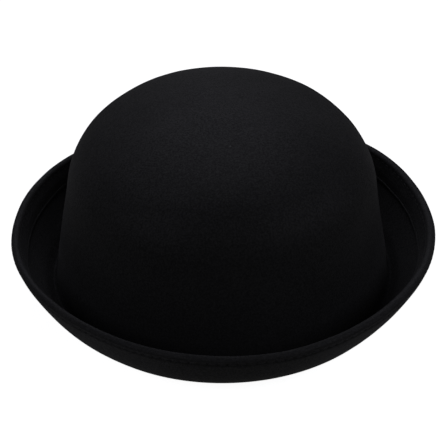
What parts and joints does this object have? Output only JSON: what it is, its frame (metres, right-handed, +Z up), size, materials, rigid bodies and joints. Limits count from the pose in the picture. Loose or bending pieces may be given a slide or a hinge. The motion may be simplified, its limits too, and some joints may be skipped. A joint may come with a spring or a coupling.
{
  "type": "bowler hat",
  "caption": "Black wool felt bowler hat with a domed crown and a narrow brim turned up all round, its hem wired and stitched, with a grosgrain sweatband inside.",
  "frame": {"origin": "under the middle of the crown, on the surface that the hat stands on", "axes": "+Z up through the middle of the crown, -Y towards the front of the hat, +X towards the left ear of its wearer"},
  "size_m": [0.2274, 0.2512, 0.104],
  "materials": {
    "black_felt": "matte",
    "spring_steel": "satin",
    "joiner_brass": "satin",
    "black_thread": "satin",
    "black_grosgrain": "satin",
    "label_satin": "satin"
  },
  "bodies": {
    "root": {"felt_body": "black_felt", "brim_wire": "spring_steel", "wire_joiner": "joiner_brass", "hem_needle_thread": "black_thread", "hem_bobbin_thread": "black_thread", "sweatband": "black_grosgrain", "sweatband_thread": "black_thread", "sweatband_seam_thread": "black_thread", "care_label": "label_satin", "label_thread": "black_thread"}
  },
  "joints": []
}
